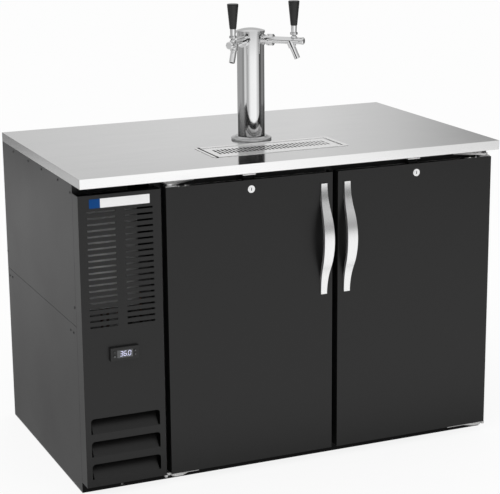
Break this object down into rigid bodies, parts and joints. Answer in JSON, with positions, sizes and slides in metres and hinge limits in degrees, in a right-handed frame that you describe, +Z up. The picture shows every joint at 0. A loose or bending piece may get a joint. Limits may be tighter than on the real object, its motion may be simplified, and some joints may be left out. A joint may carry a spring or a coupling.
{
  "type": "draft beer cooler",
  "caption": "Low keg cabinet with solid doors, a side grille over its condensing unit, a steel worktop with drip tray and a draft tower with taps",
  "frame": {"origin": "on the floor under the middle of the worktop", "axes": "+X to the right seen from the front, +Y to the back, +Z up"},
  "size_m": [1.2192, 0.7634, 1.2533],
  "materials": {
    "black_paint": "satin black powder coat",
    "steel": "brushed stainless",
    "chrome": "polished",
    "zinc": "zinc plated",
    "foam": "rigid foam",
    "dark_plastic": "matte",
    "door_liner": "thermoformed liner over foam",
    "rubber": "soft seal",
    "copper": "drawn copper",
    "fin_metal": "mill finish",
    "window": "smoked",
    "key_cap": "matte",
    "grip": "gloss black",
    "shell_black": "gloss enamel",
    "motor": "satin"
  },
  "bodies": {
    "cabinet": {"base_pan": "black_paint", "left_side_panels": "black_paint", "right_side_panel": "black_paint", "rear_panel": "black_paint", "partition_panel": "black_paint", "insulation": "foam", "liner": "steel", "face_frame": "dark_plastic", "keg_floor": "steel", "worktop": "steel", "drip_pan": "steel", "grille_panel": "black_paint", "controller_housing": "dark_plastic", "display_window": "window", "condensing_tray": "zinc", "compressor": "shell_black", "condenser_coil": "fin_metal", "fan_shroud": "black_paint", "condenser_fan_motor": "motor", "refrigerant_lines": "copper", "evaporator_cover": "steel", "evaporator_coil": "fin_metal", "evaporator_fan_motor": "motor", "strike_plates": "zinc", "cabinet_hinges": "zinc", "cord_gland": "rubber", "tower_flange": "chrome", "tower_nuts": "zinc", "tower_column": "chrome", "tower_cap": "chrome", "shanks": "chrome", "coupling_nuts": "chrome", "faucet_bodies": "chrome"},
    "left_door": {"left_door_skin": "black_paint", "left_door_panel": "door_liner", "left_door_gasket": "rubber", "left_door_handle": "steel", "left_hinge_blocks": "zinc", "left_lock_body": "chrome"},
    "right_door": {"right_door_skin": "black_paint", "right_door_panel": "door_liner", "right_door_gasket": "rubber", "right_door_handle": "steel", "right_hinge_blocks": "zinc", "right_lock_body": "chrome"},
    "left_lock": {"left_lock_plug": "chrome"},
    "right_lock": {"right_lock_plug": "chrome"},
    "left_tap": {"left_tap_lever": "chrome", "left_tap_handle": "grip"},
    "right_tap": {"right_tap_lever": "chrome", "right_tap_handle": "grip"},
    "left_valve": {"left_valve_shaft": "zinc"},
    "right_valve": {"right_valve_shaft": "zinc"},
    "grid": {"drip_grid": "steel"},
    "power_button": {"power_key": "key_cap"},
    "set_button": {"set_key": "key_cap"},
    "up_button": {"up_key": "key_cap"},
    "down_button": {"down_key": "key_cap"},
    "condenser_blades": {"condenser_fan": "zinc"},
    "evaporator_blades": {"evaporator_fan": "dark_plastic"}
  },
  "joints": [
    {"name": "left_door_swing", "type": "hinge", "parent": "cabinet", "child": "left_door", "pos_m": [-0.3576, -0.3293, 0.0305], "axis": [0, 0, -1], "range_deg": [0, 110], "stiffness_Nm_per_rad": 2, "springref_deg": -20.05},
    {"name": "right_door_swing", "type": "hinge", "parent": "cabinet", "child": "right_door", "pos_m": [0.5826, -0.3293, 0.0305], "axis": [0, 0, 1], "range_deg": [0, 110], "stiffness_Nm_per_rad": 2, "springref_deg": -20.05},
    {"name": "left_lock_turn", "type": "hinge", "parent": "left_door", "child": "left_lock", "pos_m": [-0.13415, -0.3453, 0.7915], "axis": [0, -1, 0], "range_deg": [0, 90]},
    {"name": "right_lock_turn", "type": "hinge", "parent": "right_door", "child": "right_lock", "pos_m": [0.35915, -0.3453, 0.7915], "axis": [0, 1, 0], "range_deg": [0, 90]},
    {"name": "left_tap_pull", "type": "hinge", "parent": "cabinet", "child": "left_tap", "pos_m": [-0.09051, -0.13021, 1.1513], "axis": [0.7071, -0.7071, 0], "range_deg": [0, 30]},
    {"name": "right_tap_pull", "type": "hinge", "parent": "cabinet", "child": "right_tap", "pos_m": [0.09051, -0.13021, 1.1513], "axis": [0.7071, 0.7071, 0], "range_deg": [0, 30]},
    {"name": "left_valve_slide", "type": "slide", "parent": "cabinet", "child": "left_valve", "axis": [0.7071, 0.7071, 0], "range_m": [0, 0.0039]},
    {"name": "right_valve_slide", "type": "slide", "parent": "cabinet", "child": "right_valve", "axis": [-0.7071, 0.7071, 0], "range_m": [0, 0.0039]},
    {"name": "grid_lift", "type": "slide", "parent": "cabinet", "child": "grid", "axis": [0, 0, 1], "range_m": [0, 0.1]},
    {"name": "power_press", "type": "slide", "parent": "cabinet", "child": "power_button", "axis": [0, 1, 0], "range_m": [0, 0.001], "stiffness_N_per_m": 300, "springref_m": -0.001},
    {"name": "set_press", "type": "slide", "parent": "cabinet", "child": "set_button", "axis": [0, 1, 0], "range_m": [0, 0.001], "stiffness_N_per_m": 300, "springref_m": -0.001},
    {"name": "up_press", "type": "slide", "parent": "cabinet", "child": "up_button", "axis": [0, 1, 0], "range_m": [0, 0.001], "stiffness_N_per_m": 300, "springref_m": -0.001},
    {"name": "down_press", "type": "slide", "parent": "cabinet", "child": "down_button", "axis": [0, 1, 0], "range_m": [0, 0.001], "stiffness_N_per_m": 300, "springref_m": -0.001},
    {"name": "condenser_fan_spin", "type": "hinge", "parent": "cabinet", "child": "condenser_blades", "pos_m": [-0.5204, -0.232, 0.649], "axis": [0, 1, 0], "continuous": true},
    {"name": "evaporator_fan_spin", "type": "hinge", "parent": "cabinet", "child": "evaporator_blades", "pos_m": [-0.2422, 0.0997, 0.6664], "axis": [1, 0, 0], "continuous": true}
  ],
  "couplings": [
    {"joint": "left_valve_slide", "follows": "left_tap_pull", "m_per_rad": 0.0072},
    {"joint": "right_valve_slide", "follows": "right_tap_pull", "m_per_rad": 0.0072}
  ]
}
